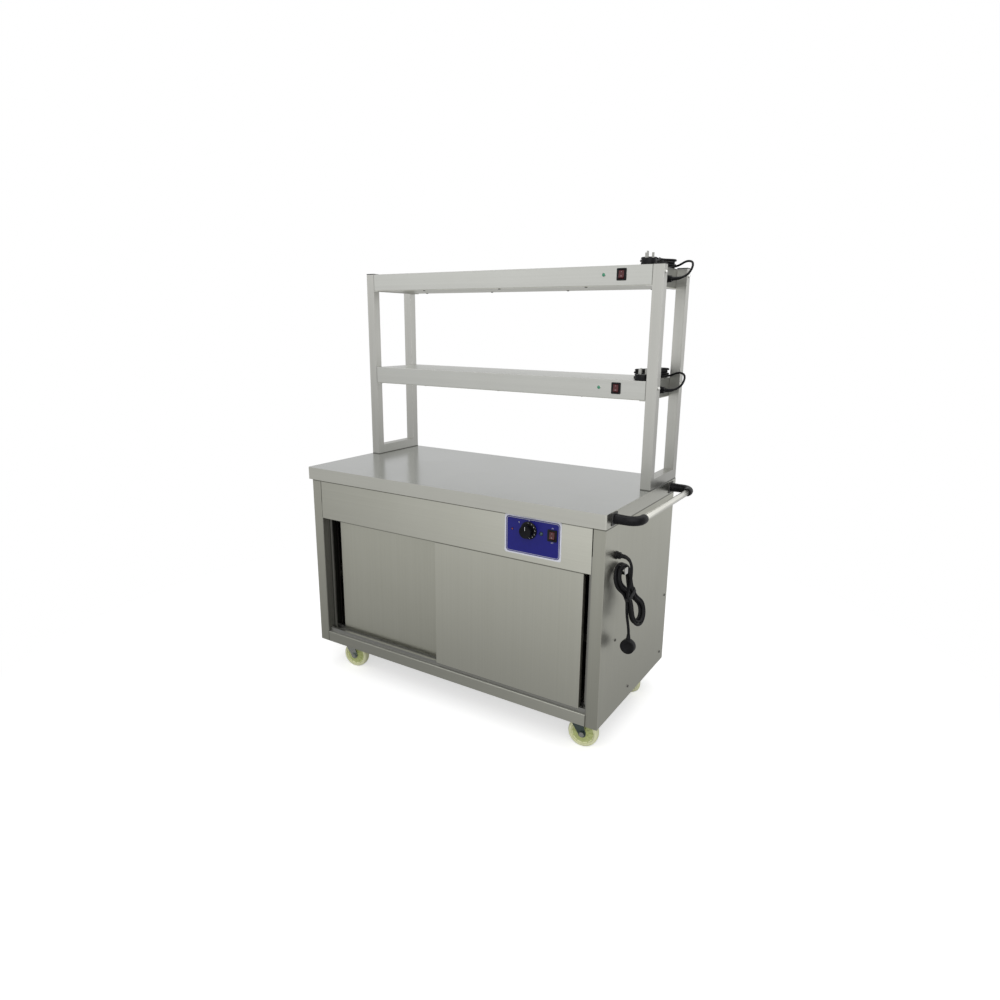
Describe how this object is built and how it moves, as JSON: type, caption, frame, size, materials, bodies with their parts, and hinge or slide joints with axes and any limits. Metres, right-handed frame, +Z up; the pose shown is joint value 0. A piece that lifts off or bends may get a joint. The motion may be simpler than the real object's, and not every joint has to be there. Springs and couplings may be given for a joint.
{
  "type": "mobile hot cupboard",
  "caption": "Heated stainless steel cupboard on swivel castors, with sliding doors, a push handle, a control plate and a heated gantry over the worktop.",
  "frame": {"origin": "on the floor under the middle of the object's overall length and depth, cords left out", "axes": "+Z up; -Y is the front with the doors and controls; +X is to the right, towards the push handle"},
  "size_m": [1.2906, 0.6126, 1.5397],
  "materials": {
    "worktop_steel": "satin, brushed along its length",
    "satin_steel": "satin, brushed",
    "door_steel": "satin, brushed upright",
    "track_steel": "dull folded steel",
    "element_steel": "dark oxidised sheath",
    "heater_mat": "silicone heater mat",
    "control_body": "moulded thermostat body",
    "control_plate": "dark blue print on thin sheet",
    "black_plastic": "moulded, slight sheen",
    "rocker_red": "dark red translucent",
    "lamp_lens": "translucent lens",
    "roller_nylon": "white nylon",
    "bright_steel": "polished",
    "handle_pad": "grey moulded",
    "zinc_steel": "bright zinc plate",
    "wheel_nylon": "cream nylon",
    "cord_rubber": "black flexible sheath"
  },
  "bodies": {
    "cupboard": {"worktop": "worktop_steel", "side_panel_left": "satin_steel", "side_panel_right": "satin_steel", "back_panel": "satin_steel", "fascia": "satin_steel", "bottom_rail": "satin_steel", "base_pan": "satin_steel", "door_tracks": "track_steel", "door_jambs": "track_steel", "heat_shield": "track_steel", "inner_shelf": "satin_steel", "shelf_runners": "track_steel", "heating_element": "element_steel", "element_cover": "satin_steel", "thermostat": "control_body", "control_plate": "control_plate", "rocker_bezels": "black_plastic", "indicator_lamps": "lamp_lens", "gantry_frame_left": "satin_steel", "gantry_frame_right": "satin_steel", "post_caps": "black_plastic", "upper_shelf": "satin_steel", "lower_shelf": "satin_steel", "shelf_bases": "satin_steel", "shelf_heaters": "heater_mat", "dome_nuts": "bright_steel", "panel_screws": "bright_steel", "handle_pads": "handle_pad", "handle_elbows": "black_plastic", "handle_tube": "bright_steel", "castor_plates": "zinc_steel", "cord_glands": "black_plastic", "cord_hook": "bright_steel", "main_cord_lead": "cord_rubber", "main_cord_hank": "cord_rubber", "main_cord_tail": "cord_rubber", "main_plug": "black_plastic", "upper_cord_runs": "cord_rubber", "upper_cord_hank": "cord_rubber", "upper_plug": "black_plastic", "lower_cord_runs": "cord_rubber", "lower_cord_hank": "cord_rubber", "lower_plug": "black_plastic"},
    "door_left": {"door_left": "door_steel", "door_left_hangers": "roller_nylon"},
    "door_right": {"door_right": "door_steel", "door_right_hangers": "roller_nylon"},
    "knob": {"knob": "black_plastic"},
    "rocker_main": {"rocker_main": "rocker_red"},
    "rocker_upper": {"rocker_upper": "rocker_red"},
    "rocker_lower": {"rocker_lower": "rocker_red"},
    "fork_fl": {"castor_fork_fl": "zinc_steel"},
    "wheel_fl": {"castor_wheel_fl": "wheel_nylon"},
    "fork_fr": {"castor_fork_fr": "zinc_steel"},
    "wheel_fr": {"castor_wheel_fr": "wheel_nylon"},
    "fork_rl": {"castor_fork_rl": "zinc_steel"},
    "wheel_rl": {"castor_wheel_rl": "wheel_nylon"},
    "fork_rr": {"castor_fork_rr": "zinc_steel"},
    "wheel_rr": {"castor_wheel_rr": "wheel_nylon"}
  },
  "joints": [
    {"name": "door_left_slide", "type": "slide", "parent": "cupboard", "child": "door_left", "axis": [1, 0, 0], "range_m": [-0.047, 0.495]},
    {"name": "door_right_slide", "type": "slide", "parent": "cupboard", "child": "door_right", "axis": [1, 0, 0], "range_m": [-0.52, 0.022]},
    {"name": "thermostat_turn", "type": "hinge", "parent": "cupboard", "child": "knob", "pos_m": [0.29875, -0.30575, 0.709], "axis": [0, 1, 0], "range_deg": [0, 280]},
    {"name": "rocker_main_tip", "type": "hinge", "parent": "cupboard", "child": "rocker_main", "pos_m": [0.37975, -0.27725, 0.705], "axis": [1, 0, 0], "range_deg": [0, 16]},
    {"name": "rocker_upper_tip", "type": "hinge", "parent": "cupboard", "child": "rocker_upper", "pos_m": [0.41875, 0.05875, 1.473], "axis": [1, 0, 0], "range_deg": [0, 16]},
    {"name": "rocker_lower_tip", "type": "hinge", "parent": "cupboard", "child": "rocker_lower", "pos_m": [0.41875, 0.05875, 1.123], "axis": [1, 0, 0], "range_deg": [0, 16]},
    {"name": "swivel_fl", "type": "hinge", "parent": "cupboard", "child": "fork_fl", "pos_m": [-0.53725, -0.22375, 0.112], "axis": [0, 0, 1], "continuous": true},
    {"name": "wheel_spin_fl", "type": "hinge", "parent": "fork_fl", "child": "wheel_fl", "pos_m": [-0.50771, -0.21854, 0.05], "axis": [-0.1736, 0.9848, 0], "continuous": true},
    {"name": "swivel_fr", "type": "hinge", "parent": "cupboard", "child": "fork_fr", "pos_m": [0.45275, -0.22375, 0.112], "axis": [0, 0, 1], "continuous": true},
    {"name": "wheel_spin_fr", "type": "hinge", "parent": "fork_fr", "child": "wheel_fr", "pos_m": [0.48246, -0.21957, 0.05], "axis": [-0.1392, 0.9903, 0], "continuous": true},
    {"name": "swivel_rl", "type": "hinge", "parent": "cupboard", "child": "fork_rl", "pos_m": [-0.53725, 0.20625, 0.112], "axis": [0, 0, 1], "continuous": true},
    {"name": "wheel_spin_rl", "type": "hinge", "parent": "fork_rl", "child": "wheel_rl", "pos_m": [-0.50906, 0.21651, 0.05], "axis": [-0.342, 0.9397, 0], "continuous": true},
    {"name": "swivel_rr", "type": "hinge", "parent": "cupboard", "child": "fork_rr", "pos_m": [0.45275, 0.20625, 0.112], "axis": [0, 0, 1], "continuous": true},
    {"name": "wheel_spin_rr", "type": "hinge", "parent": "fork_rr", "child": "wheel_rr", "pos_m": [0.47732, 0.18904, 0.05], "axis": [0.5736, 0.8192, 0], "continuous": true}
  ]
}
